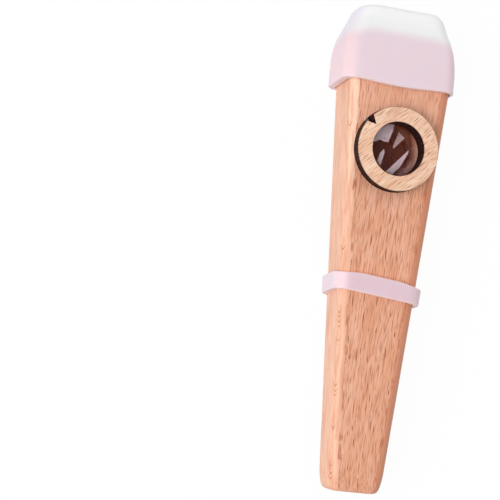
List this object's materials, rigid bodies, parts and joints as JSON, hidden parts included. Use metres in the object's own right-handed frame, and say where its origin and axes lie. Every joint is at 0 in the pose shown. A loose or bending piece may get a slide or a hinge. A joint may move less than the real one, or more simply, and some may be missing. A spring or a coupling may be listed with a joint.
{
  "type": "kazoo",
  "caption": "Tapered wooden kazoo with a soft mouthpiece cap, a grip band and a membrane held in its face by a push-in wooden ring.",
  "frame": {"origin": "middle of the part in X and Y, on the surface that its back rests on", "axes": "+Z out of the face with the membrane, +Y along the body to the mouth end, +X across it"},
  "size_m": [0.0326, 0.1336, 0.0202],
  "materials": {
    "beech": "sanded, oiled",
    "ring_wood": "sanded, edges scorched by laser cutting",
    "film": "thin clear film, slightly wrinkled",
    "carrier": "matte white",
    "silicone": "milky, satin, slightly translucent"
  },
  "bodies": {
    "kazoo_body": {"body": "beech"},
    "membrane": {"membrane_film": "film", "membrane_carrier": "carrier"},
    "ring": {"retaining_ring": "ring_wood"},
    "cap": {"mouthpiece_cap": "silicone"},
    "band": {"grip_band": "silicone"}
  },
  "joints": [
    {"name": "cap_pull", "type": "slide", "parent": "kazoo_body", "child": "cap", "axis": [0, 1, 0], "range_m": [0, 0.03]},
    {"name": "membrane_lift", "type": "slide", "parent": "kazoo_body", "child": "membrane", "axis": [0, -0.0385, 0.9993], "range_m": [0, 0.01]},
    {"name": "ring_lift", "type": "slide", "parent": "membrane", "child": "ring", "axis": [0, -0.0385, 0.9993], "range_m": [0, 0.012]},
    {"name": "band_slide", "type": "slide", "parent": "kazoo_body", "child": "band", "axis": [0, -1, 0], "range_m": [0, 0.07]}
  ]
}
